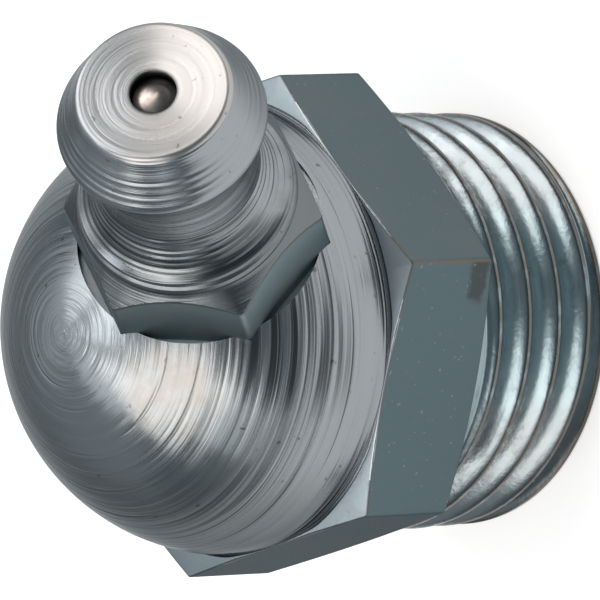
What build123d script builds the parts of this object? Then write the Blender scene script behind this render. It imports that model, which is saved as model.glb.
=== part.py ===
"""Angled 45 degree hydraulic grease nipple with a G 1/4 thread, in millimetres.

The thread axis is Z and the seating face of the hexagon lies in Z = 0, so the
thread hangs below the origin and the dome stands above it. The head leans
towards +X and its axis lies in the plane Y = 0.
"""
import os
from math import cos, radians, sin, sqrt, tan

from build123d import *

# Hexagon of the body
HEX_FLATS = 14.0
HEX_HEIGHT = 4.1
SEAT_DIAMETER = 13.6
SEAT_CHAMFER_ANGLE = 17.0
SHOULDER_CHAMFER_ANGLE = 15.0

# Dome turned above the hexagon, with a straight foot a little inside its own radius
DOME_RADIUS = 7.05
DOME_CENTRE_DROP = 0.05
DOME_FOOT_INSET = 0.08

# Thread shank, plain at the outer diameter of the thread
THREAD_DIAMETER = 12.95
THREAD_LENGTH = 6.05
THREAD_LEAD_ANGLE = 30.0
THREAD_LEAD_DEPTH = 0.45

# Grease way, drilled up from the thread end to meet the slanted hole
WAY_DIAMETER = 4.0
WAY_MOUTH_CHAMFER = 0.5
WAY_OVERRUN = 0.3
DRILL_POINT_ANGLE = 118.0
SLANT_WAY_DIAMETER = 3.2

# Head, turned in one with its collar and shank; depths run down from its front face
HEAD_ANGLE = 45.0
HEAD_AXIS_DROP = 0.14
FACE_DIAMETER = 4.7
FACE_EDGE_BREAK = 0.06
HEAD_DIAMETER = 6.45
HEAD_CONE_LENGTH = 1.7
HEAD_LAND = 0.2
UNDERCUT_ANGLE = 40.0
NECK_DIAMETER = 5.1
FLARE_DEPTH = 4.8
FLARE_RADIUS = 1.8
FLARE_TURN = 52.0

# Collar, a turned rim that runs out into a small hexagon
RIM_DIAMETER = 6.82
RIM_DEPTH = 6.35
RIM_HEIGHT = 0.48
COLLAR_FLATS = 7.0
COLLAR_CHAMFER_ANGLE = 45.0
COLLAR_TURN = -5.0
COLLAR_DEPTH = 9.6

# Spot face in the dome; the collar stands on its floor and the hexagon's corners bite its wall
SPOT_FACE_DEPTH = 1.6
SPOT_FACE_CLEARANCE = 0.3

# Shank under the collar, pressed into the body and rolled in at its end
SHANK_DIAMETER = 5.0
SHANK_LENGTH = 2.9
SHANK_CHAMFER = 0.25
SHANK_END_GAP = 0.2
LIP_DIAMETER = 2.0
LIP_THICKNESS = 0.4

# Check valve inside the head
MOUTH_DIAMETER = 1.44
MOUTH_LENGTH = 0.42
VALVE_CONE_ANGLE = 90.0
VALVE_BORE = 3.0
BALL_DIAMETER = 2.38
BALL_SEAT_GAP = 0.02
WIRE_DIAMETER = 0.32
WIRE_SIDES = 8
SPRING_TURNS = 6
SPRING_SIDE_CLEARANCE = 0.2
SPRING_END_CLEARANCE = 0.02

# Sizes that follow from those above
OVERCUT = 1.0
hex_corner_radius = HEX_FLATS / sqrt(3)
dome_centre_height = HEX_HEIGHT - DOME_CENTRE_DROP
dome_foot_radius = DOME_RADIUS - DOME_FOOT_INSET
dome_foot_height = dome_centre_height + sqrt(DOME_RADIUS**2 - dome_foot_radius**2)
head_axis_foot = HEX_HEIGHT - HEAD_AXIS_DROP
head_reach = DOME_RADIUS - SPOT_FACE_DEPTH + COLLAR_DEPTH
head_length = COLLAR_DEPTH + SHANK_LENGTH
valve_half_angle = radians(VALVE_CONE_ANGLE / 2)
valve_cone_apex = MOUTH_LENGTH - MOUTH_DIAMETER / 2 / tan(valve_half_angle)
ball_depth = valve_cone_apex + (BALL_DIAMETER / 2 + BALL_SEAT_GAP) / sin(valve_half_angle)

# The head's own frame: Z runs out through the front face, whose level is head_reach
head_plane = Plane(
    origin=(0, 0, head_axis_foot),
    x_dir=(cos(radians(HEAD_ANGLE)), 0, -sin(radians(HEAD_ANGLE))),
    z_dir=(sin(radians(HEAD_ANGLE)), 0, cos(radians(HEAD_ANGLE))),
)


def level(depth):
    """Height, in the head's frame, of what lies depth below the front face."""
    return head_reach - depth


def turned(edges):
    """Solid turned about Z from the closed outline that edges make, as (radius, height)."""
    return revolve(Plane.XZ * make_face(edges), Axis.Z)


def hexagon_bar(flats, bottom, top, turn=0.0):
    """Hexagonal bar about Z; a flat faces +X when turn is 0."""
    section = RegularPolygon(flats / sqrt(3), 6, rotation=30 + turn)
    return Pos(0, 0, bottom) * extrude(section, top - bottom)


def rod(diameter, bottom, top):
    """Round bar about Z."""
    return Pos(0, 0, bottom) * extrude(Circle(diameter / 2), top - bottom)


def domed_hexagon():
    """Hexagon with turned chamfers on both faces and the dome above it."""
    reach = hex_corner_radius + OVERCUT
    shoulder_drop = (reach - dome_foot_radius) * tan(radians(SHOULDER_CHAMFER_ANGLE))
    seat_rise = (reach - SEAT_DIAMETER / 2) * tan(radians(SEAT_CHAMFER_ANGLE))
    nose = (0, dome_centre_height + DOME_RADIUS)
    foot = (dome_foot_radius, dome_foot_height)
    outline = [
        RadiusArc(nose, foot, DOME_RADIUS),
        Polyline(
            foot,
            (dome_foot_radius, HEX_HEIGHT),
            (reach, HEX_HEIGHT - shoulder_drop),
            (reach, seat_rise),
            (SEAT_DIAMETER / 2, 0),
            (0, 0),
            nose,
        ),
    ]
    return turned(outline) & hexagon_bar(HEX_FLATS, 0, dome_centre_height + DOME_RADIUS)


def thread_shank():
    """Round shank below the seat, with the lead-in at its end."""
    radius = THREAD_DIAMETER / 2
    lead_length = THREAD_LEAD_DEPTH / tan(radians(THREAD_LEAD_ANGLE))
    return turned(
        Polyline(
            (0, 0),
            (radius, 0),
            (radius, -THREAD_LENGTH + lead_length),
            (radius - THREAD_LEAD_DEPTH, -THREAD_LENGTH),
            (0, -THREAD_LENGTH),
            close=True,
        )
    )


def grease_way():
    """Drilled hole from the thread end, with a countersunk mouth and a drill point."""
    radius = WAY_DIAMETER / 2
    top = head_axis_foot + WAY_OVERRUN
    point = radius / tan(radians(DRILL_POINT_ANGLE / 2))
    mouth = radius + WAY_MOUTH_CHAMFER + OVERCUT
    return turned(
        Polyline(
            (0, top + point),
            (radius, top),
            (radius, -THREAD_LENGTH + WAY_MOUTH_CHAMFER),
            (mouth, -THREAD_LENGTH - OVERCUT),
            (0, -THREAD_LENGTH - OVERCUT),
            close=True,
        )
    )


def head_seat():
    """Room for the pressed-in head: spot face, dents of the collar's corners, shank hole, grease way."""
    beyond_dome = 2 * DOME_RADIUS
    spot_face = rod(COLLAR_FLATS + 2 * SPOT_FACE_CLEARANCE, level(COLLAR_DEPTH), beyond_dome)
    corner_dents = hexagon_bar(COLLAR_FLATS, level(COLLAR_DEPTH), beyond_dome, COLLAR_TURN)
    shank_hole = rod(SHANK_DIAMETER, level(head_length + SHANK_END_GAP), beyond_dome)
    slant_way = rod(SLANT_WAY_DIAMETER, 0, beyond_dome)
    return head_plane * (spot_face + corner_dents + shank_hole + slant_way)


def body():
    """Body of the nipple, drilled for grease and for the head."""
    return domed_hexagon() + thread_shank() - grease_way() - head_seat()


def head():
    """Coupling head, neck, collar and shank in one turned piece, with the valve bore."""
    face_radius = FACE_DIAMETER / 2
    head_radius = HEAD_DIAMETER / 2
    neck_radius = NECK_DIAMETER / 2
    rim_radius = RIM_DIAMETER / 2
    collar_reach = COLLAR_FLATS / sqrt(3) + OVERCUT
    shank_radius = SHANK_DIAMETER / 2
    bore_radius = VALVE_BORE / 2
    mouth_radius = MOUTH_DIAMETER / 2

    cone_slope = (head_radius - face_radius) / HEAD_CONE_LENGTH
    land_end = HEAD_CONE_LENGTH + HEAD_LAND
    undercut_end = land_end + (head_radius - neck_radius) / tan(radians(UNDERCUT_ANGLE))
    rim_end = RIM_DEPTH + RIM_HEIGHT
    chamfer_end = rim_end + (collar_reach - rim_radius) / tan(radians(COLLAR_CHAMFER_ANGLE))
    bore_top = valve_cone_apex + bore_radius / tan(valve_half_angle)

    flare = JernArc((neck_radius, level(FLARE_DEPTH)), (0, -1), FLARE_RADIUS, FLARE_TURN)
    above_flare = Polyline(
        (mouth_radius, level(0)),
        (face_radius - FACE_EDGE_BREAK, level(0)),
        (face_radius + FACE_EDGE_BREAK * cone_slope, level(FACE_EDGE_BREAK)),
        (head_radius, level(HEAD_CONE_LENGTH)),
        (head_radius, level(land_end)),
        (neck_radius, level(undercut_end)),
        flare @ 0,
    )
    below_flare = Polyline(
        flare @ 1,
        (rim_radius, level(RIM_DEPTH)),
        (rim_radius, level(rim_end)),
        (collar_reach, level(chamfer_end)),
        (collar_reach, level(COLLAR_DEPTH)),
        (shank_radius, level(COLLAR_DEPTH)),
        (shank_radius, level(head_length - SHANK_CHAMFER)),
        (shank_radius - SHANK_CHAMFER, level(head_length)),
        (LIP_DIAMETER / 2, level(head_length)),
        (LIP_DIAMETER / 2, level(head_length - LIP_THICKNESS)),
        (bore_radius, level(head_length - LIP_THICKNESS)),
        (bore_radius, level(bore_top)),
        (mouth_radius, level(MOUTH_LENGTH)),
        (mouth_radius, level(0)),
    )
    blank = turned([above_flare, flare, below_flare])
    bar = hexagon_bar(COLLAR_FLATS, level(COLLAR_DEPTH), level(rim_end), COLLAR_TURN)
    chips = rod(2 * collar_reach, level(COLLAR_DEPTH), level(rim_end)) - bar
    return head_plane * (blank - chips)


def check_ball():
    """Ball that closes the mouth of the head from inside."""
    return head_plane * Pos(0, 0, level(ball_depth)) * Sphere(BALL_DIAMETER / 2)


def ball_spring():
    """Coil spring between the ball and the rolled-in end of the shank."""
    wire_radius = WIRE_DIAMETER / 2
    coil_radius = VALVE_BORE / 2 - SPRING_SIDE_CLEARANCE - wire_radius
    touch = BALL_DIAMETER / 2 + wire_radius + SPRING_END_CLEARANCE
    top_depth = ball_depth + sqrt(touch**2 - coil_radius**2)
    bottom_depth = head_length - LIP_THICKNESS - wire_radius - SPRING_END_CLEARANCE
    length = bottom_depth - top_depth
    path = Pos(0, 0, level(bottom_depth)) * Helix(length / SPRING_TURNS, length, coil_radius)
    section = Plane(path @ 0, z_dir=path % 0) * RegularPolygon(wire_radius, WIRE_SIDES)
    return head_plane * sweep(section, path, is_frenet=True)


def main():
    os.makedirs("parts", exist_ok=True)
    for make in (body, head, check_ball, ball_spring):
        export_step(make(), os.path.join("parts", make.__name__ + ".step"))


main()
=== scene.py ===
"""Angled grease nipple: fine meshes, zinc-plated steel and soft studio light.

Lengths are in millimetres and angles in degrees, in the part's own frame: the
thread axis is Z, the seating face of the hexagon lies in Z = 0, and the head
leans 45 degrees towards +X in the plane Y = 0.
"""
import math
from collections import namedtuple
from functools import partial

import bmesh
import bpy
import numpy as np
from mathutils import Matrix, Vector


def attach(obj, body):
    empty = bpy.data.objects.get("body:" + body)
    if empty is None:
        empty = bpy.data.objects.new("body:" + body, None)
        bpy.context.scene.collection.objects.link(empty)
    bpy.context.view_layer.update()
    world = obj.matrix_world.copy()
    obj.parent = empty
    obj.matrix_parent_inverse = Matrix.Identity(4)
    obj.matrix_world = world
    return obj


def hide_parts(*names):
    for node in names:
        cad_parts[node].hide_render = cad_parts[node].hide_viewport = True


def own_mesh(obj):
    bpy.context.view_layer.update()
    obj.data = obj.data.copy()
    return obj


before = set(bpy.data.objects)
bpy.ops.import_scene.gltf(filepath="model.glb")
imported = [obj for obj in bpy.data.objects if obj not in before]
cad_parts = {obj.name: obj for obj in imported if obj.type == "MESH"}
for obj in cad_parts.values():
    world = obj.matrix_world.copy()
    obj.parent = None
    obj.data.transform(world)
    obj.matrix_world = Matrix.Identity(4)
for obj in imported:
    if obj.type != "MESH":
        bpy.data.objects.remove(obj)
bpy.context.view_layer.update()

MM = 0.001
BODY = "fitting"
COS_30 = math.cos(math.radians(30))
COS_45 = math.cos(math.radians(45))
THREAD_AXIS = (0.0, 0.0, 1.0)

# Frame of the turned head: W runs out through the front face, U leans down and V is +Y.
# A level is measured along W from the head's foot, and a depth back from the front face.
HEAD_FOOT = np.array((0.0, 0.0, 3.96))
HEAD_U = np.array((COS_45, 0.0, -COS_45))
HEAD_V = np.array((0.0, 1.0, 0.0))
HEAD_W = np.array((COS_45, 0.0, COS_45))
HEAD_REACH = 15.05

# Outside of the head: mouth, face, coupling ring, neck and the rim round the collar
MOUTH_RADIUS = 0.72
FACE_RADIUS = 2.35
RING_RADIUS = 3.225
RING_FRONT = 1.7
RING_BACK = 1.9
NECK_RADIUS = 2.55
NECK_FRONT = 2.7
NECK_BACK = 4.8
FLARE_RADIUS = 3.14
FLARE_BACK = 6.06
RIM_RADIUS = 3.41
RIM_DEPTH = 6.83

# Collar of the head, a small hexagon whose front is a cone and whose back sits in the dome
COLLAR_FLATS = 7.0
COLLAR_CORNER_RADIUS = 0.22
COLLAR_TURN = -8.0
COLLAR_SLOPE = 1.25
COLLAR_SEAT = 9.6
COLLAR_LEVEL = HEAD_REACH - COLLAR_SEAT

# Inside of the head: shank, valve bore and the rolled-in lip that carries the spring
SHANK_RADIUS = 2.5
SHANK_CHAMFER = 0.25
SHANK_END = 12.5
VALVE_RADIUS = 1.5
VALVE_SEAT = 1.2
LIP_RADIUS = 1.0
LIP_DEPTH = 12.1

# Large hexagon and dome, with a groove at the dome's foot that takes up at most a share of
# the shoulder
FLATS = 14.0
FLATS_CORNER_RADIUS = 0.14
HEX_TOP = 4.1
SEAT_RADIUS = 6.8
SEAT_INNER_RADIUS = 5.32
SEAT_SLOPE = math.tan(math.radians(17))
SHOULDER_SLOPE = math.tan(math.radians(15))
GROOVE = 0.10
GROOVE_SHARE = 0.3
DOME_RADIUS = 7.05
DOME_CENTRE = 4.05
FOOT_RADIUS = 6.97
FOOT_RISE = math.sqrt(DOME_RADIUS ** 2 - FOOT_RADIUS ** 2)
DOME_ROWS = 90

# Spot face and dents that take the collar, cut into the dome up to a level clear of it.
# The spot face ends above the collar's seat. The collar sinks in through it, and its corners,
# which reach past the spot face, leave the dents.
SPOT_FACE_RADIUS = 3.8
SPOT_FACE_RISE = 0.25
SPOT_FACE_COLUMNS = 192
DENT_CORNER_RADIUS = 0.05
CLEAR_OF_DOME = 12.0

# Too small to see: it keeps the dents' floor off the collar, and welds the edges of the cuts
HAIR = 0.0004

# Thread: 19 turns to the inch, tapering 1 in 16 on its diameter, and set round by a phase in
# turns. It runs out under the hexagon, and ends in a blunt rim with a small lead-in and a bore.
PITCH = 25.4 / 19
THREAD_END = -6.05
END_RADIUS = 6.42
TAPER = 1 / 32
THREAD_PHASE = 0.575
RUN_OUT_START = -0.55
RUN_OUT_LENGTH = 0.5
RIM_HEIGHT = 0.22
RIM_FADE = 0.25
LEAD_HEIGHT = 0.08
LEAD_SLOPE = 0.7
BORE_RADIUS = 2.0
BORE_CHAMFER = 0.5
THREAD_COLUMNS = 360
THREAD_ROWS = 250

# Half a pitch of the thread from crest to root: distance along the axis, and depth
WAVE_RUN = (0.0, 0.05, 0.10, 0.16, 0.24, 0.34, 0.45, 0.54, 0.60, PITCH / 2)
WAVE_DEPTH = (0.0, 0.008, 0.042, 0.105, 0.21, 0.37, 0.56, 0.69, 0.75, 0.77)

# Spring between the ball and the lip, with the depths of its first and last turn
WIRE_RADIUS = 0.16
COIL_RADIUS = 1.14
COIL_TOP = 2.171
COIL_FOOT = 11.92
COIL_TURNS = 6
COIL_STEPS = 48 * COIL_TURNS
WIRE_SIDES = 14


# ---------------------------------------------------------------- mesh helpers

def rounded(corners, steps=4):
    """Polyline through (x, y, radius) corners, the inner ones rounded off in the given steps."""
    points = [np.array(corner[:2], float) for corner in corners]
    radii = [corner[2] for corner in corners[1:]]
    out = [points[0]]
    for before, corner, after, radius in zip(points, points[1:], points[2:], radii):
        a, b = before - corner, after - corner
        length_a, length_b = np.linalg.norm(a), np.linalg.norm(b)
        turn = math.pi - math.acos(np.clip(a @ b / (length_a * length_b), -1, 1))
        longest = 0.45 * min(length_a, length_b)
        cut_back = min(radius * math.tan(turn / 2), longest)
        p, q = corner + a / length_a * cut_back, corner + b / length_b * cut_back
        for t in np.linspace(0, 1, steps + 1):
            out.append((1 - t) ** 2 * p + 2 * t * (1 - t) * corner + t * t * q)
    out.append(points[-1])
    return np.array(out)


def hexagon_columns(flats, corner_radius, turn=0.0, per_flat=26, per_corner=8):
    """Azimuths and radii round a hexagon with rounded corners; a flat faces azimuth turn."""
    apothem = flats / 2
    reach = (apothem - corner_radius) / COS_30
    half = reach / 2
    azimuths, radii = [], []
    for side in range(6):
        flat = math.radians(turn) + side * math.pi / 3
        for i in range(per_flat):
            s = half * (2 * (i + 0.5) / per_flat - 1)
            azimuths.append(flat + math.atan2(s, apothem))
            radii.append(math.hypot(s, apothem))
        corner = flat + math.pi / 6
        for i in range(per_corner + 1):
            a = corner + math.radians(-30 + 60 * i / per_corner)
            x = reach * math.cos(corner) + corner_radius * math.cos(a)
            y = reach * math.sin(corner) + corner_radius * math.sin(a)
            azimuths.append(math.atan2(y, x))
            radii.append(math.hypot(x, y))
    return np.unwrap(azimuths), np.array(radii)


def round_columns(count):
    """Azimuths of evenly spaced columns."""
    return 2 * np.pi * np.arange(count) / count


def ring(radii, azimuths, heights):
    """Points about the thread axis; radii and heights are one value, or one a column."""
    heights = np.broadcast_to(heights, azimuths.shape)
    return np.stack((radii * np.cos(azimuths), radii * np.sin(azimuths), heights), 1)


def head_ring(radii, azimuths, levels):
    """Points about the head's axis; radii and levels are one value, or one a column."""
    sides = np.outer(radii * np.cos(azimuths), HEAD_U) + np.outer(radii * np.sin(azimuths), HEAD_V)
    return HEAD_FOOT + np.outer(np.broadcast_to(levels, azimuths.shape), HEAD_W) + sides


def grid(rings, close_rows=False):
    """Vertices and quads of rings, each an array of points round the same columns."""
    rows, columns = len(rings), len(rings[0])
    faces = []
    for i in range(rows if close_rows else rows - 1):
        j = (i + 1) % rows
        for k in range(columns):
            n = (k + 1) % columns
            faces.append((i * columns + k, i * columns + n, j * columns + n, j * columns + k))
    return np.concatenate(rings), faces


def turned_over(faces):
    """The same faces, looking the other way."""
    return [face[::-1] for face in faces]


def end_caps(columns, last):
    """Faces over the first ring, and over the ring whose first vertex is last."""
    return [tuple(range(columns - 1, -1, -1)), tuple(range(last, last + columns))]


def new_object(name, verts, faces):
    mesh = bpy.data.meshes.new(name)
    mesh.from_pydata((np.array(verts) * MM).tolist(), [], faces)
    mesh.update()
    obj = bpy.data.objects.new(name, mesh)
    bpy.context.scene.collection.objects.link(obj)
    return obj


def new_piece(name, verts, faces, slot):
    piece = new_object(name, verts, faces)
    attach(piece, BODY)
    return piece


def cut(obj, name, verts, faces):
    """Takes a closed mesh out of obj."""
    tool = new_object(name, verts, faces)
    change = obj.modifiers.new(name, "BOOLEAN")
    change.operation = "DIFFERENCE"
    change.solver = "EXACT"
    change.object = tool
    graph = bpy.context.evaluated_depsgraph_get()
    obj.data = bpy.data.meshes.new_from_object(obj.evaluated_get(graph))
    obj.modifiers.clear()
    bpy.data.objects.remove(tool)


def weld(obj, distance):
    """Joins points nearer than distance, and drops the faces that are left without area."""
    mesh = bmesh.new()
    mesh.from_mesh(obj.data)
    bmesh.ops.remove_doubles(mesh, verts=mesh.verts, dist=distance * MM)
    bmesh.ops.dissolve_degenerate(mesh, edges=mesh.edges, dist=distance * MM)
    mesh.to_mesh(obj.data)
    mesh.free()


def weighted_normals(obj, angle=35.0):
    """Smooth shading that keeps flat faces flat, and edges sharper than angle crisp."""
    mesh = obj.data
    mesh.polygons.foreach_set("use_smooth", [True] * len(mesh.polygons))
    mesh.set_sharp_from_angle(angle=math.radians(angle))
    tool = obj.modifiers.new("weighted", "WEIGHTED_NORMAL")
    tool.weight = 50
    tool.keep_sharp = True


# ---------------------------------------------------------------- hexagon and dome

def dome_profile(reach):
    """Outline as (radius, height) from the seating face to the dome's foot.

    It goes round the hexagon at distance reach.
    """
    groove = min(GROOVE, GROOVE_SHARE * (reach - FOOT_RADIUS))
    groove_start, groove_bottom = 1.6 * groove, 0.6 * groove
    return rounded((
        (SEAT_INNER_RADIUS, 0.0, 0),
        (SEAT_RADIUS, 0.0, 0.08),
        (reach, (reach - SEAT_RADIUS) * SEAT_SLOPE, 0.07),
        (reach, HEX_TOP - (reach - FOOT_RADIUS) * SHOULDER_SLOPE, 0.07),
        (FOOT_RADIUS + groove_start, HEX_TOP - groove_start * SHOULDER_SLOPE, 0.02),
        (FOOT_RADIUS + groove_bottom, HEX_TOP - groove, 0.02),
        (FOOT_RADIUS, HEX_TOP, 0.02),
        (FOOT_RADIUS, DOME_CENTRE + FOOT_RISE, 0),
    ))


def make_dome():
    """Hexagon and dome, closed by one point on top and one in the seating face."""
    azimuths, reaches = hexagon_columns(FLATS, FLATS_CORNER_RADIUS)
    profiles = np.array([dome_profile(reach) for reach in reaches])
    rings = [ring(r, azimuths, z) for r, z in profiles.transpose(1, 2, 0)]
    start = math.asin(FOOT_RISE / DOME_RADIUS)
    for angle in np.linspace(start, math.pi / 2, DOME_ROWS + 1)[1:-1]:
        height = DOME_CENTRE + DOME_RADIUS * math.sin(angle)
        rings.append(ring(DOME_RADIUS * math.cos(angle), azimuths, height))
    verts, faces = grid(rings)
    columns, top = len(azimuths), len(verts)
    last = top - columns
    verts = np.concatenate((verts, [(0, 0, DOME_CENTRE + DOME_RADIUS), (0, 0, 0)]))
    faces += [(last + k, last + (k + 1) % columns, top) for k in range(columns)]
    faces += [((k + 1) % columns, k, top + 1) for k in range(columns)]
    return verts, faces


def head_prism(radii, azimuths, low):
    """Closed prism about the head's axis, from a level to one clear of the dome."""
    rings = [head_ring(radii, azimuths, level) for level in (low, CLEAR_OF_DOME)]
    verts, faces = grid(rings)
    return verts, faces + end_caps(len(azimuths), len(azimuths))


dome = new_piece("dome_and_hexagon", *make_dome(), "plated_body")
round_azimuths = round_columns(SPOT_FACE_COLUMNS)
cut(dome, "spot_face", *head_prism(SPOT_FACE_RADIUS, round_azimuths, COLLAR_LEVEL + SPOT_FACE_RISE))
dent_azimuths, dent_radii = hexagon_columns(
    COLLAR_FLATS, DENT_CORNER_RADIUS, COLLAR_TURN, per_flat=4, per_corner=4)
cut(dome, "dents", *head_prism(dent_radii, dent_azimuths, COLLAR_LEVEL + HAIR))
weld(dome, HAIR)
weighted_normals(dome)


# ---------------------------------------------------------------- thread

def thread_depth(turns):
    """Depth below the crest at each turn count, the same on both flanks."""
    run = np.abs((turns % 1.0) - 0.5) * PITCH
    return np.interp(run, WAVE_RUN, WAVE_DEPTH)


def make_thread():
    """Helical thread and the drilled way through it, as one closed mesh."""
    azimuths = round_columns(THREAD_COLUMNS)
    rings = []
    for z in np.linspace(0.0, THREAD_END, THREAD_ROWS):
        above_end = z - THREAD_END
        crest = END_RADIUS + TAPER * above_end
        turns = z / PITCH + azimuths / (2 * np.pi) + THREAD_PHASE
        run_out = np.clip((RUN_OUT_START - z) / RUN_OUT_LENGTH, 0, 1)
        start = np.clip((above_end - RIM_HEIGHT) / RIM_FADE, 0, 1)
        lead = max(0.0, LEAD_HEIGHT - above_end) * LEAD_SLOPE
        depth = np.maximum(thread_depth(turns) * run_out * start, lead)
        rings.append(ring(crest - depth, azimuths, z))
    rings.append(ring(BORE_RADIUS + BORE_CHAMFER, azimuths, THREAD_END))
    rings.append(ring(BORE_RADIUS, azimuths, THREAD_END + BORE_CHAMFER))
    rings.append(ring(BORE_RADIUS, azimuths, 0.0))
    verts, faces = grid(rings, close_rows=True)
    return verts, turned_over(faces)


thread = new_piece("thread", *make_thread(), "plated_body")
weighted_normals(thread, 50)
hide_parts("body")
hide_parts("body")


# ---------------------------------------------------------------- head

def rippled(points, start, end, waves, height):
    """Adds turned ripples to a profile of (radius, depth) between two depths."""
    spacing = 0.03
    out = []
    for (r0, d0), (r1, d1) in zip(points[:-1], points[1:]):
        steps = max(1, math.ceil((d1 - d0) / spacing)) if d1 > start and d0 < end else 1
        out += [(r0 + (r1 - r0) * k / steps, d0 + (d1 - d0) * k / steps) for k in range(steps)]
    out = np.array([*out, points[-1]])
    share = np.clip((out[:, 1] - start) / (end - start), 0, 1)
    out[:, 0] -= height * np.sin(2 * np.pi * waves * share)
    return out


def head_profile(reach):
    """Closed outline of the head as (radius, depth), with the collar cut at distance reach."""
    front = rounded((
        (MOUTH_RADIUS, 0.35, 0),
        (MOUTH_RADIUS, 0.09, 0.03),
        (1.20, 0.078, 0.5),
        (1.70, 0.05, 0.5),
        (2.10, 0.02, 0.5),
        (FACE_RADIUS, 0.0, 0.2),
        (RING_RADIUS, RING_FRONT, 0.3),
        (RING_RADIUS, RING_BACK, 0.25),
        (NECK_RADIUS, NECK_FRONT, 0.25),
        (NECK_RADIUS, NECK_BACK, 0.5),
        (2.66, 5.20, 1.5),
        (2.92, 5.80, 0.8),
        (FLARE_RADIUS, FLARE_BACK, 0),
    ), 5)
    front = rippled(front, start=0.75, end=1.62, waves=4, height=0.008)
    front = rippled(front, start=4.75, end=6.0, waves=6, height=0.009)
    beads_and_collar = rounded((
        (FLARE_RADIUS, FLARE_BACK, 0),
        (3.30, 6.15, 0.05),
        (3.33, 6.26, 0.08),
        (3.27, 6.36, 0.03),
        (3.37, 6.46, 0.06),
        (RIM_RADIUS, 6.60, 0.1),
        (3.36, 6.74, 0.03),
        (RIM_RADIUS, RIM_DEPTH, 0.04),
        (reach, RIM_DEPTH + COLLAR_SLOPE * (reach - RIM_RADIUS), 0.05),
        (reach, COLLAR_SEAT, 0.03),
        (SHANK_RADIUS, COLLAR_SEAT, 0),
    ))
    inside = (
        (SHANK_RADIUS, SHANK_END - SHANK_CHAMFER),
        (SHANK_RADIUS - SHANK_CHAMFER, SHANK_END),
        (LIP_RADIUS, SHANK_END),
        (LIP_RADIUS, LIP_DEPTH),
        (VALVE_RADIUS, LIP_DEPTH),
        (VALVE_RADIUS, VALVE_SEAT),
        (MOUTH_RADIUS, 0.42),
    )
    return np.concatenate((front, beads_and_collar[1:], inside))


def make_head():
    azimuths, reaches = hexagon_columns(COLLAR_FLATS, COLLAR_CORNER_RADIUS, COLLAR_TURN)
    profiles = np.array([head_profile(reach) for reach in reaches])
    rings = [head_ring(r, azimuths, HEAD_REACH - depth) for r, depth in profiles.transpose(1, 2, 0)]
    verts, faces = grid(rings, close_rows=True)
    return verts, turned_over(faces)


head = new_piece("coupling_head", *make_head(), "plated_head")
weighted_normals(head)
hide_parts("head")


# ---------------------------------------------------------------- ball spring

def make_coil():
    """Round wire wound about the head's axis, with rounded ends."""
    way = np.linspace(0, 1, COIL_STEPS + 1)
    turn = 2 * np.pi * COIL_TURNS * way
    level = HEAD_REACH - COIL_FOOT + (COIL_FOOT - COIL_TOP) * way
    outwards = np.outer(np.cos(turn), HEAD_U) + np.outer(np.sin(turn), HEAD_V)
    sideways = np.outer(np.cos(turn), HEAD_V) - np.outer(np.sin(turn), HEAD_U)
    line = HEAD_FOOT + np.outer(level, HEAD_W) + COIL_RADIUS * outwards
    rise = (COIL_FOOT - COIL_TOP) / (2 * np.pi * COIL_TURNS * COIL_RADIUS)
    ahead = (sideways + rise * HEAD_W) / math.hypot(1, rise)
    across = np.cross(ahead, outwards)
    angles = round_columns(WIRE_SIDES)
    # Each ring's step, and its share of the way through a round end, which is half a wire
    # radius long
    start = [(0, -0.95), (0, -0.6)]
    middle = [(k, 0.0) for k in range(COIL_STEPS + 1)]
    end = [(COIL_STEPS, 0.6), (COIL_STEPS, 0.95)]
    rings = []
    for k, past in start + middle + end:
        radius = WIRE_RADIUS * math.sqrt(1 - past ** 2)
        centre = line[k] + 0.5 * WIRE_RADIUS * past * ahead[k]
        spokes = np.outer(np.cos(angles), outwards[k]) + np.outer(np.sin(angles), across[k])
        rings.append(centre + radius * spokes)
    verts, faces = grid(rings)
    return verts, faces + end_caps(WIRE_SIDES, len(verts) - WIRE_SIDES)


coil = new_piece("valve_spring", *make_coil(), "spring_wire")
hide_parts("ball_spring")
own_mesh(coil)


# ---------------------------------------------------------------- colours and places of the finish

# The metal in its places, and its colour where the turned and the drawn skin are seen at a
# low angle
TURNED = (0.262, 0.285, 0.298)
TURNED_EDGE = (0.40, 0.42, 0.43)
DRAWN = (0.116, 0.150, 0.162)
DRAWN_EDGE = (0.27, 0.27, 0.275)
# Painted shade on the flat at -60 degrees
SHADED_FLAT = (0.094, 0.132, 0.147)
SHOULDER_COLOR = (0.29, 0.34, 0.37)
# Painted highlight on the dome by the collar
PAINTED_HIGHLIGHT = (0.40, 0.43, 0.445)
# Painted warm tint of the dome's highlight, laid in blotches where it falls
WARM_HIGHLIGHT_TINT = (0.248, 0.238, 0.226)
FACE_COLOR = (0.375, 0.370, 0.367)
WORN_FACE_COLOR = (0.345, 0.362, 0.380)
COLLAR_COLOR = (0.230, 0.300, 0.318)
# Pale with painted light, in the spot face and dents round the collar
LIT_POCKET_COLOR = (0.50, 0.55, 0.57)
# Painted shade on one side of the spot face and dents
SHADED_POCKET_COLOR = (0.10, 0.12, 0.13)
THREAD_COLOR = (0.240, 0.274, 0.288)
# Painted bluish light on one side of the thread
BLUE_LIGHT_ON_THREAD = (0.265, 0.345, 0.375)
MOTTLED = (0.10, 0.125, 0.14)
DARK_RIM = (0.05, 0.065, 0.07)
BALL_COLOR = (0.58, 0.505, 0.47)
SPRING_COLOR = (0.35, 0.36, 0.37)

# What lies on the metal, and painted shade
STAIN = (0.10, 0.075, 0.055)
RUST = (0.15, 0.115, 0.085)
# Colour of a dark brown patch on one flat of the large hexagon
DARK_PATCH_COLOR = (0.045, 0.040, 0.034)
# Soot in the dome's scores, and painted shade on the dome's side away from the lamps
SOOT_AND_SHADE = (0.030, 0.034, 0.036)
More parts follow.
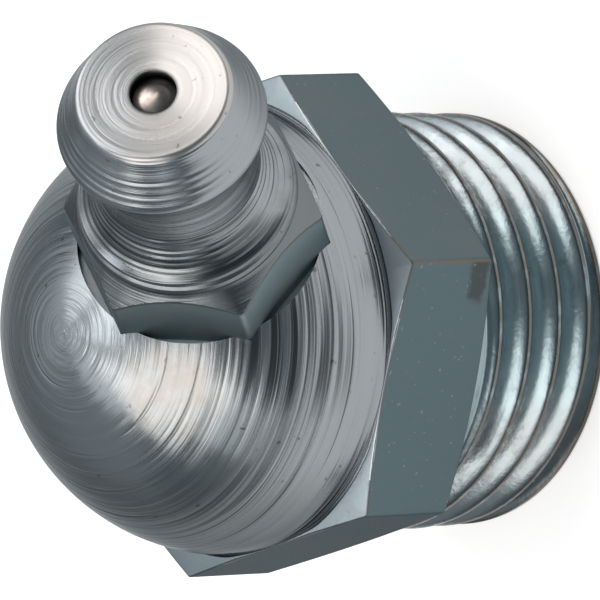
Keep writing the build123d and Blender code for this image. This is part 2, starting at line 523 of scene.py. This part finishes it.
# Painted shade on the ball, round its lit spot
BALL_SHADE = (0.09, 0.085, 0.08)
# Dark marks on the head, and painted shade on it
DARK_MARKS_AND_SHADE = (0.068, 0.076, 0.079)
SPECK = (0.30, 0.29, 0.28)

# Centres of the scores, the painted highlight and the painted warm tint on the dome, and the
# direction of its side with painted shade
SCORED_PLACE = (4.1, -4.7, 7.3)
PAINTED_HIGHLIGHT_PLACE = (1.4, 0.0, 11.0)
WARM_HIGHLIGHT_PLACE = (1.1, -3.7, 9.9)
DOME_SHADE_SIDE = (-0.70, -0.71, 0.03)

# Directions about the head: the worn side of its face, the scored side of the flare and its sooty
# side, both also with painted shade, and the side of the pocket round the collar with painted shade
WORN_SIDE = 0.51 * HEAD_V - 0.86 * HEAD_U
SCORED_SHADED_SIDE = -0.55 * HEAD_U - 0.83 * HEAD_V
SOOTY_SHADED_SIDE = -HEAD_V
SHADED_SIDE = 0.5 * HEAD_V - 0.85 * HEAD_U

# The flat with painted shade, which faces -60 degrees and has a dark patch near one corner: the foot
# of that corner, which is rusty, the way along the flat from it, and the way the flat faces
RUSTY_CORNER = (FLATS / 2, -FLATS / 2 * math.tan(math.pi / 6), 0.0)
ALONG_SHADED_FLAT = (-COS_30, -0.5, 0.0)
SHADED_FLAT_FACING = (0.5, -COS_30, 0.0)

# Direction of the thread's side with painted bluish light
BLUE_LIT_SIDE = (0.76, -0.65, 0.0)


# ---------------------------------------------------------------- node helpers

class Graph:
    """Short calls that add nodes to a new material and wire them up."""

    def __init__(self, name):
        self.material = bpy.data.materials.new(name)
        self.material.use_nodes = True
        self.tree = self.material.node_tree
        self.shader = self.tree.nodes["Principled BSDF"]
        coordinates = self.tree.nodes.new("ShaderNodeTexCoord")
        self.place = self.vector("SCALE", coordinates.outputs["Object"], scale=1 / MM)

    def put(self, socket, value):
        """Links an output to a socket, or sets the socket's own value."""
        if isinstance(value, bpy.types.NodeSocket):
            self.tree.links.new(value, socket)
        else:
            socket.default_value = value

    def math(self, operation, a, b, clamp=False):
        node = self.tree.nodes.new("ShaderNodeMath")
        node.operation = operation
        node.use_clamp = clamp
        self.put(node.inputs[0], a)
        self.put(node.inputs[1], b)
        return node.outputs[0]

    def plus(self, a, b):
        return self.math("ADD", a, b)

    def minus(self, a, b):
        return self.math("SUBTRACT", a, b)

    def product(self, first, *others):
        for other in others:
            first = self.math("MULTIPLY", first, other)
        return first

    def largest(self, first, *others):
        for other in others:
            first = self.math("MAXIMUM", first, other)
        return first

    def vector(self, operation, a, b=None, scale=None):
        node = self.tree.nodes.new("ShaderNodeVectorMath")
        node.operation = operation
        for socket, value in zip(node.inputs, (a, b)):
            if value is not None:
                self.put(socket, value)
        if scale is not None:
            self.put(node.inputs["Scale"], scale)
        return node.outputs["Value" if operation in ("LENGTH", "DOT_PRODUCT") else "Vector"]

    def offset(self, point):
        return self.vector("SUBTRACT", self.place, point)

    def away(self, point):
        """Distance from a point."""
        return self.vector("LENGTH", self.offset(point))

    def across(self, offset):
        """Length of an offset, seen along the thread axis."""
        return self.vector("LENGTH", self.vector("MULTIPLY", offset, (1.0, 1.0, 0.0)))

    def toward(self, offset, direction):
        """How far an offset reaches in a direction."""
        return self.vector("DOT_PRODUCT", offset, direction)

    def noise(self, scale, detail, roughness=0.55, place=None):
        node = self.tree.nodes.new("ShaderNodeTexNoise")
        self.put(node.inputs["Vector"], self.place if place is None else place)
        node.inputs["Scale"].default_value = scale
        node.inputs["Detail"].default_value = detail
        node.inputs["Roughness"].default_value = roughness
        return node.outputs["Fac"]

    def band(self, value, low, high, out_low, out_high, shape="SMOOTHSTEP"):
        """Value mapped from low..high to out_low..out_high, and held at both ends."""
        node = self.tree.nodes.new("ShaderNodeMapRange")
        node.interpolation_type = shape
        names = ("From Min", "From Max", "To Min", "To Max")
        for name, number in zip(names, (low, high, out_low, out_high)):
            node.inputs[name].default_value = number
        self.put(node.inputs["Value"], value)
        return node.outputs[0]

    def rise(self, value, low, high, top=1.0):
        """0 up to low, and top from high on."""
        return self.band(value, low, high, 0.0, top)

    def fall(self, value, low, high, top=1.0):
        """Top up to low, and 0 from high on."""
        return self.band(value, low, high, top, 0.0)

    def spread(self, noise, low, high):
        """Noise stretched evenly over low..high."""
        return self.band(noise, 0.3, 0.7, low, high, "LINEAR")

    def blend(self, share, a, b):
        node = self.tree.nodes.new("ShaderNodeMix")
        node.data_type = "RGBA"
        self.put(node.inputs["Factor"], share)
        for name, color in (("A", a), ("B", b)):
            linked = isinstance(color, bpy.types.NodeSocket)
            self.put(node.inputs[name], color if linked else (*color, 1))
        return node.outputs["Result"]

    def bump(self, height, distance, below=None):
        """Normal of a surface raised by height, of which 1 stands for distance."""
        node = self.tree.nodes.new("ShaderNodeBump")
        node.inputs["Distance"].default_value = distance * MM
        self.put(node.inputs["Height"], height)
        if below is not None:
            self.put(node.inputs["Normal"], below)
        return node.outputs[0]


About = namedtuple("About", "axis offset height radius outwards around")


def about_axis(graph, origin, axis):
    """Places about an axis: height along it, distance from it, and unit vectors out and round."""
    offset = graph.offset(origin)
    height = graph.toward(offset, axis)
    outwards = graph.vector("SUBTRACT", offset, graph.vector("SCALE", axis, scale=height))
    radius = graph.vector("LENGTH", outwards)
    outwards = graph.vector("NORMALIZE", outwards)
    around = graph.vector("CROSS_PRODUCT", axis, outwards)
    return About(axis, offset, height, radius, outwards, around)


def turned_noise(graph, about, run, pitch, wander, detail):
    """Turning marks: noise that changes every pitch of the run, and by wander round the axis."""
    along = graph.vector("SCALE", about.axis, scale=graph.math("DIVIDE", run, pitch))
    round_it = graph.vector("SCALE", about.outwards, scale=wander)
    return graph.noise(scale=1.0, detail=detail, place=graph.vector("ADD", round_it, along))


def finish_metal(graph, color, overlay, overlay_share, roughness, normal):
    shader = graph.shader
    # Over the colour goes a second one: stains, and on the dome, head and ball also painted shade
    graph.put(shader.inputs["Base Color"], graph.blend(overlay_share, color, overlay))
    shader.inputs["Metallic"].default_value = 1
    graph.put(shader.inputs["Roughness"], roughness)
    graph.put(shader.inputs["Normal"], normal)
    return graph.material


def stretch_gloss(graph, around):
    """Highlights drawn out across the turning marks, and darker where seen at a low angle."""
    shader = graph.shader
    shader.inputs["Specular Tint"].default_value = (*TURNED_EDGE, 1)
    shader.inputs["Anisotropic"].default_value = 0.75
    shader.inputs["Anisotropic Rotation"].default_value = 0.25
    graph.put(shader.inputs["Tangent"], around)


# ---------------------------------------------------------------- materials

def dome_metal():
    graph = Graph("zinc_dome")
    about = about_axis(graph, (0.0, 0.0, DOME_CENTRE), THREAD_AXIS)
    run = graph.product(graph.math("ARCTAN2", about.radius, about.height), DOME_RADIUS)
    marks = partial(turned_noise, graph, about, run)
    waves = marks(pitch=0.50, wander=0.35, detail=2.0)
    fine = marks(pitch=0.13, wander=0.45, detail=3.0)
    grooves = graph.rise(marks(pitch=0.30, wander=0.4, detail=1.0), 0.60, 0.70)
    normal = graph.bump(waves, 0.050)
    normal = graph.bump(fine, 0.020, normal)
    normal = graph.bump(graph.minus(1.0, grooves), 0.012, normal)
    specks = graph.rise(graph.noise(scale=3.1, detail=2.0), 0.69, 0.76, 0.7)
    overlay = graph.largest(specks, graph.product(grooves, 0.10))
    metal = graph.blend(overlay, TURNED, STAIN)
    # Painted highlight: a paler place by the collar. Beside it, in blotches, a painted warm tint
    # where the dome's highlight falls
    metal = graph.blend(graph.fall(graph.away(PAINTED_HIGHLIGHT_PLACE), 0.5, 2.0, 0.85), metal, PAINTED_HIGHLIGHT)
    blotches = graph.band(graph.noise(scale=1.6, detail=4.0), 0.38, 0.66, 0.3, 0.9)
    warm_tint = graph.product(graph.fall(graph.away(WARM_HIGHLIGHT_PLACE), 0.8, 2.3), blotches)
    metal = graph.blend(warm_tint, metal, WARM_HIGHLIGHT_TINT)
    # Dark scores on the side of the dome below the collar, and painted shade on the side away from
    # the lamps
    scores = graph.rise(marks(pitch=0.24, wander=0.3, detail=2.0), 0.48, 0.58, 0.80)
    scores = graph.product(scores, graph.fall(graph.away(SCORED_PLACE), 1.0, 2.8))
    painted_shade = graph.rise(graph.toward(graph.place, DOME_SHADE_SIDE), 3.9, 6.1, 0.40)
    stretch_gloss(graph, about.around)
    roughness = graph.spread(fine, 0.19, 0.27)
    return finish_metal(graph, metal, SOOT_AND_SHADE, graph.largest(scores, painted_shade), roughness, normal)


def head_metal():
    graph = Graph("zinc_head")
    about = about_axis(graph, HEAD_FOOT, HEAD_W)
    depth = graph.minus(HEAD_REACH, about.height)
    marks = partial(turned_noise, graph, about, graph.minus(about.radius, about.height))
    waves = marks(pitch=0.45, wander=0.3, detail=2.0)
    fine = marks(pitch=0.10, wander=0.5, detail=3.0)
    # The front face is smoother, apart from its worn side
    on_face = graph.fall(depth, 0.12, 0.2)
    worn = graph.product(on_face, graph.rise(graph.toward(about.offset, WORN_SIDE), -0.3, 1.5))
    quiet = graph.minus(1.0, graph.product(graph.minus(on_face, worn), 0.75))
    normal = graph.bump(graph.product(waves, quiet), 0.030)
    normal = graph.bump(graph.product(fine, quiet), 0.014, normal)
    roughness = graph.plus(graph.spread(fine, 0.19, 0.26), graph.product(on_face, 0.07))
    metal = graph.blend(on_face, TURNED, FACE_COLOR)
    metal = graph.blend(worn, metal, WORN_FACE_COLOR)
    metal = graph.blend(graph.rise(graph.noise(scale=3.6, detail=2.0), 0.70, 0.76, 0.6), metal, STAIN)
    # Painted shade: the cone of the collar and the foot of the flare are darker, up to an uneven line
    patchy = graph.plus(about.height, graph.product(graph.noise(scale=1.2, detail=3.0), 1.2))
    foot = graph.fall(patchy, HEAD_REACH - 6.2, HEAD_REACH - 4.9, 0.60)
    # Painted shade too on the neck behind the ring, and on the cone in front of it on the head's
    # underside
    behind = graph.product(graph.rise(depth, 2.0, 2.4, 0.62), graph.fall(depth, 3.0, 3.9))
    cone = graph.rise(graph.toward(about.offset, HEAD_U), 1.7, 2.8, 0.42)
    cone = graph.product(cone, graph.fall(depth, 1.5, 1.8), graph.minus(1.0, on_face))
    # Dark scores on the flare, on the side towards the nose of the dome, over an even painted shade
    # on that side
    scores = graph.product(
        graph.band(marks(pitch=0.20, wander=0.25, detail=2.0), 0.46, 0.56, 0.35, 0.85),
        graph.rise(depth, 4.6, 4.9),
        graph.fall(depth, 5.95, 6.15),
        graph.rise(graph.toward(about.offset, SCORED_SHADED_SIDE), 0.8, 1.8),
    )
    # Streaks of soot on the back of the flare and on the beads behind it, over an even painted shade
    # on that side
    soot_and_shade = graph.product(
        graph.band(marks(pitch=0.14, wander=0.25, detail=2.0), 0.42, 0.52, 0.35, 0.9),
        graph.rise(depth, 5.15, 5.45),
        graph.fall(depth, 6.15, 6.35),
        graph.rise(graph.toward(about.offset, SOOTY_SHADED_SIDE), 2.25, 2.75),
    )
    mouth_edge = graph.fall(about.radius, 0.74, 0.84, 0.85)
    # The head darkened by its marks and by painted shade
    marks_and_shade = graph.largest(foot, graph.product(worn, 0.12), behind, cone, scores, soot_and_shade, mouth_edge)
    stretch_gloss(graph, about.around)
    return finish_metal(graph, metal, DARK_MARKS_AND_SHADE, marks_and_shade, roughness, normal)


def start_drawn(name, color):
    """Graph, cloudy colour and grain of a plated face that keeps the bar's drawn skin."""
    graph = Graph(name)
    grain = graph.noise(scale=14.0, detail=4.0, roughness=0.65)
    paler = tuple(channel * gain for channel, gain in zip(color, (1.09, 1.02, 1.0)))
    cloud = graph.noise(scale=0.8, detail=4.0, roughness=0.6)
    metal = graph.blend(graph.rise(cloud, 0.40, 0.62), color, paler)
    return graph, metal, grain


def finish_drawn(graph, metal, overlay, share, grain):
    graph.shader.inputs["Specular Tint"].default_value = (*DRAWN_EDGE, 1)
    roughness = graph.spread(grain, 0.36, 0.46)
    return finish_metal(graph, metal, overlay, share, roughness, graph.bump(grain, 0.004))


def hexagon_metal():
    graph, metal, grain = start_drawn("zinc_flats", DRAWN)
    # Painted shade: the flat at -60 degrees is a little darker than the others
    facing = graph.toward(graph.place, SHADED_FLAT_FACING)
    metal = graph.blend(graph.rise(facing, FLATS / 2 - 0.15, FLATS / 2 - 0.05), metal, SHADED_FLAT)
    # Rust along the corner between the flats at 0 and -60 degrees
    ragged = graph.noise(scale=5.0, detail=3.0)
    offset = graph.offset(RUSTY_CORNER)
    from_corner = graph.across(offset)
    level = graph.toward(offset, THREAD_AXIS)
    corner = graph.product(graph.fall(from_corner, 0.04, 0.15), graph.rise(ragged, 0.36, 0.55, 0.7))
    metal = graph.blend(corner, metal, RUST)
    # Rust along the upper edges
    drop = graph.product(graph.minus(graph.across(graph.place), FOOT_RADIUS), SHOULDER_SLOPE)
    below = graph.minus(graph.minus(HEX_TOP, drop), level)
    rim = graph.product(graph.fall(below, 0.04, 0.13), graph.rise(ragged, 0.42, 0.58, 0.55))
    metal = graph.blend(rim, metal, RUST)
    # A dark patch on the flat at -60 degrees, near the rusty corner
    on_side = graph.toward(offset, ALONG_SHADED_FLAT)
    wander = graph.product(graph.noise(scale=2.4, detail=3.0), 0.5)
    lift = graph.plus(level, wander)
    patch = graph.product(
        graph.fall(graph.plus(on_side, wander), 1.35, 1.75),
        graph.rise(on_side, 0.0, 0.1),
        graph.fall(lift, 1.30, 1.55),
        graph.rise(lift, 0.65, 0.85),
        graph.fall(from_corner, 1.7, 2.0, 0.6),
    )
    metal = graph.blend(patch, metal, DARK_PATCH_COLOR)
    specks = graph.rise(graph.noise(scale=6.0, detail=1.0), 0.72, 0.76, 0.5)
    return finish_drawn(graph, metal, SPECK, specks, grain)


def collar_metal():
    graph, metal, grain = start_drawn("zinc_collar", COLLAR_COLOR)
    # A dark line along the edge of the cone
    about = about_axis(graph, HEAD_FOOT, HEAD_W)
    edge_level = HEAD_REACH - RIM_DEPTH + COLLAR_SLOPE * RIM_RADIUS
    level = graph.plus(about.height, graph.product(about.radius, COLLAR_SLOPE))
    edge = graph.fall(graph.minus(edge_level, level), 0.04, 0.14, 0.6)
    share = graph.largest(edge, graph.rise(grain, 0.66, 0.8, 0.4))
    return finish_drawn(graph, metal, STAIN, share, grain)


def pocket_metal():
    """The spot face and dents round the collar, pale with painted light, and darker with painted
    shade on their shaded side.
    """
    graph, metal, grain = start_drawn("zinc_pocket", LIT_POCKET_COLOR)
    shaded = graph.toward(graph.offset(HEAD_FOOT), SHADED_SIDE)
    metal = graph.blend(graph.rise(shaded, 2.2, 3.0, 0.85), metal, SHADED_POCKET_COLOR)
    return finish_drawn(graph, metal, STAIN, graph.rise(grain, 0.66, 0.8, 0.4), grain)


def shoulder_metal():
    graph = Graph("zinc_shoulder")
    grain = graph.noise(scale=9.0, detail=3.0)
    share = graph.rise(grain, 0.62, 0.76, 0.35)
    roughness = graph.spread(grain, 0.40, 0.50)
    return finish_metal(graph, SHOULDER_COLOR, STAIN, share, roughness, graph.bump(grain, 0.004))


def thread_metal():
    graph = Graph("zinc_thread")
    about = about_axis(graph, (0.0, 0.0, 0.0), THREAD_AXIS)
    cloud = graph.noise(scale=1.6, detail=4.0, roughness=0.6)
    normal = graph.bump(graph.noise(scale=1.1, detail=2.0), 0.012)
    normal = graph.bump(graph.noise(scale=6.0, detail=4.0, roughness=0.65), 0.007, normal)
    # Stained crests, from below the run-out to the end of the thread
    crest = graph.plus(graph.product(graph.minus(about.height, THREAD_END), TAPER), END_RADIUS)
    crests = graph.product(
        graph.fall(graph.minus(crest, about.radius), 0.02, 0.09, 0.75),
        graph.band(cloud, 0.34, 0.50, 0.4, 1.0),
        graph.fall(about.height, -1.3, -0.8),
    )
    share = graph.largest(crests, graph.rise(cloud, 0.56, 0.78, 0.32))
    # The first turn beside the hexagon is dull and mottled
    mottle = graph.product(graph.rise(about.height, -2.6, -1.5, 0.6), graph.rise(cloud, 0.36, 0.62))
    metal = graph.blend(mottle, THREAD_COLOR, MOTTLED)
    # Painted bluish light: a bluer, paler tinge along the side between the flats at 0 and -60 degrees
    blue_light = graph.rise(graph.toward(about.outwards, BLUE_LIT_SIDE), 0.80, 0.95, 0.8)
    metal = graph.blend(blue_light, metal, BLUE_LIGHT_ON_THREAD)
    # The blunt rim at the end of the thread is dark
    metal = graph.blend(graph.fall(about.height, -5.85, -5.65, 0.65), metal, DARK_RIM)
    return finish_metal(graph, metal, STAIN, share, graph.spread(cloud, 0.19, 0.28), normal)


def spring_metal():
    graph = Graph("spring_steel")
    grain = graph.noise(scale=6.0, detail=3.0)
    share = graph.rise(grain, 0.6, 0.8, 0.2)
    roughness = graph.spread(grain, 0.27, 0.36)
    return finish_metal(graph, SPRING_COLOR, STAIN, share, roughness, graph.bump(grain, 0.001))


def ball_metal():
    """Polished, with painted shade on all but a lit spot in the middle of the mouth."""
    graph = Graph("ball_chrome")
    # Centre of the lit spot; painted shade darkens the ball away from it
    lit_place = HEAD_FOOT + (HEAD_REACH - 0.9) * HEAD_W - 0.14 * HEAD_U
    grain = graph.noise(scale=6.0, detail=3.0)
    away = graph.plus(graph.away(lit_place), graph.product(grain, 0.12))
    share = graph.rise(away, 0.60, 0.86, 0.85)
    roughness = graph.spread(grain, 0.30, 0.38)
    return finish_metal(graph, BALL_COLOR, BALL_SHADE, share, roughness, graph.bump(grain, 0.001))


# ---------------------------------------------------------------- which face has which material

def along_head(centre):
    """Level along the head's axis, and distance from it."""
    level = (centre - HEAD_FOOT) @ HEAD_W
    return level, np.linalg.norm(centre - HEAD_FOOT - level * HEAD_W)


def on_flats(centre, normal):
    """Sides of the large hexagon. The cones over and under them face along Z by over 0.95."""
    outside = math.hypot(centre[0], centre[1]) > FOOT_RADIUS - 0.05
    return outside and abs(normal[2]) < 0.93 and centre[2] < HEX_TOP - 0.15


def in_pocket(centre, normal):
    """Walls and floors of the cuts round the collar."""
    level, distance = along_head(centre)
    upright = abs(normal @ HEAD_W)
    near = distance < 4.2 and level > COLLAR_LEVEL - 0.1
    return near and (upright < 0.02 or upright > 0.999)


def on_shoulder(centre, normal):
    """Cone between the large hexagon's flats and the dome."""
    facing = math.cos(math.atan(SHOULDER_SLOPE))
    return abs(normal[2] - facing) < 0.012 and centre[2] < HEX_TOP


def on_collar(centre, normal):
    """Flats of the collar."""
    level, distance = along_head(centre)
    behind_rim = level < HEAD_REACH - RIM_DEPTH and distance > RIM_RADIUS + 0.04
    return behind_rim and abs(normal @ HEAD_W) < 0.1


def assign(piece, *materials):
    piece.data.materials.clear()
    for material in materials:
        piece.data.materials.append(material)


def choose_materials(piece, *tests):
    """Material k + 1 goes to the faces whose centre and normal pass test k, the first passed."""
    for face in piece.data.polygons:
        centre, normal = np.array(face.center) / MM, np.array(face.normal)
        passed = [k for k, test in enumerate(tests, 1) if test(centre, normal)]
        face.material_index = passed[0] if passed else 0


assign(dome, dome_metal(), hexagon_metal(), pocket_metal(), shoulder_metal())
choose_materials(dome, on_flats, in_pocket, on_shoulder)
assign(thread, thread_metal())
assign(head, head_metal(), collar_metal())
choose_materials(head, on_collar)
assign(coil, spring_metal())
polished = ball_metal()
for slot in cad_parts["check_ball"].material_slots:
    slot.material = polished


# ---------------------------------------------------------------- camera, floor and light

# The camera, fitted to the outlines in the photo: what it looks at, where it stands as seen
# from there, and how far it is turned about its view
CAMERA_AIM = (0.1787, 0.8641, 0.4571)
CAMERA_AZIMUTH = -42.6406
CAMERA_ELEVATION = 44.7964
CAMERA_ROLL = -92.0814
CAMERA_DISTANCE = 503.95
SENSOR_WIDTH = 36.0
LENS = 974.8
CLIP_START = 50.0
CLIP_END = 20000.0

WARM = (1.0, 0.935, 0.89)
WHITE = (1.0, 1.0, 1.0)
AMBIENT = (0.178, 0.220, 0.240)

# Name, azimuth, elevation, distance, half width and half height as angles, radiance, colour
LAMPS = (
    ("window", 248, 60, 600, 25, 20, 3.0, WARM),
    ("window_low", 258, 28, 700, 15, 11, 0.9, WHITE),
    ("window_edge", 175, 60, 700, 14, 11, 1.1, WHITE),
    ("side", 54, 47, 620, 22, 19, 3.3, WARM),
    ("side_back", 82, 24, 700, 13, 12, 1.6, WHITE),
    ("side_far", 108, 50, 700, 9, 10, 1.2, WHITE),
    ("overhead", 116, 74, 750, 12, 9, 2.6, WHITE),
    ("back_wall", 155, 36, 900, 46, 30, 0.22, WHITE),
    ("back_middle", 122, 40, 850, 22, 13, 0.35, WHITE),
)

FLOOR_LEVEL = THREAD_END - 0.01
FLOOR_HALF_WIDTH = 3000.0
FLOOR_PAINT = (0.70, 0.70, 0.70)
FLOOR_GLOW = 0.45
GREY_SIDE = (math.cos(math.radians(183)), math.sin(math.radians(183)), 0.0)
GREY_START = 23.0
GREY_END = 85.0
GREY_SHARE = 0.35


def direction(azimuth, elevation):
    a, e = math.radians(azimuth), math.radians(elevation)
    return Vector((math.cos(e) * math.cos(a), math.cos(e) * math.sin(a), math.sin(e)))


def add_camera():
    data = bpy.data.cameras.new("camera")
    data.sensor_width = SENSOR_WIDTH
    data.lens = LENS
    data.clip_start = CLIP_START * MM
    data.clip_end = CLIP_END * MM
    camera = bpy.data.objects.new("camera", data)
    back = direction(CAMERA_AZIMUTH, CAMERA_ELEVATION)
    level_right = Vector(THREAD_AXIS).cross(back).normalized()
    upright = Matrix((level_right, back.cross(level_right), back)).transposed().to_4x4()
    place = Matrix.Translation((Vector(CAMERA_AIM) + CAMERA_DISTANCE * back) * MM)
    roll = Matrix.Rotation(math.radians(CAMERA_ROLL), 4, "Z")
    camera.matrix_world = place @ upright @ roll
    bpy.context.scene.collection.objects.link(camera)
    bpy.context.scene.camera = camera


def add_floor():
    """White ground, greyer far away behind the part and to its left."""
    half = FLOOR_HALF_WIDTH
    corners = [(-half, -half), (half, -half), (half, half), (-half, half)]
    floor = new_object("floor", [(x, y, FLOOR_LEVEL) for x, y in corners], [(0, 1, 2, 3)])
    graph = Graph("floor_white")
    away = graph.toward(graph.place, GREY_SIDE)
    white = graph.band(away, GREY_START, GREY_END, 1.0, GREY_SHARE)
    rays = graph.tree.nodes.new("ShaderNodeLightPath").outputs
    both = graph.math("ADD", rays["Is Glossy Ray"], rays["Is Transmission Ray"], clamp=True)
    seen = graph.math("ADD", rays["Is Camera Ray"], both, clamp=True)
    inputs = graph.shader.inputs
    graph.put(inputs["Base Color"], graph.vector("SCALE", FLOOR_PAINT, scale=white))
    inputs["Roughness"].default_value = 0.9
    inputs["Specular IOR Level"].default_value = 0.0
    inputs["Emission Color"].default_value = (*WHITE, 1)
    graph.put(inputs["Emission Strength"], graph.product(seen, white, FLOOR_GLOW))
    floor.data.materials.append(graph.material)


def add_lamp(name, azimuth, elevation, distance, half_width, half_height, radiance, color):
    """Rectangular lamp, aimed at the part and seen from it under the given half angles."""
    light = bpy.data.lights.new(name, "AREA")
    light.shape = "RECTANGLE"
    light.size = 2 * distance * MM * math.tan(math.radians(half_width))
    light.size_y = 2 * distance * MM * math.tan(math.radians(half_height))
    light.energy = radiance * math.pi * light.size * light.size_y
    light.color = color
    lamp = bpy.data.objects.new(name, light)
    towards = direction(azimuth, elevation)
    lamp.location = towards * distance * MM
    lamp.rotation_euler = towards.to_track_quat("Z", "Y").to_euler()
    bpy.context.scene.collection.objects.link(lamp)


def add_world():
    world = bpy.data.worlds.new("world")
    bpy.context.scene.world = world
    world.use_nodes = True
    background = world.node_tree.nodes["Background"].inputs
    background["Color"].default_value = (*AMBIENT, 1)
    background["Strength"].default_value = 1.0


add_camera()
add_floor()
for lamp in LAMPS:
    add_lamp(*lamp)
add_world()
bpy.context.scene.view_settings.view_transform = "Standard"
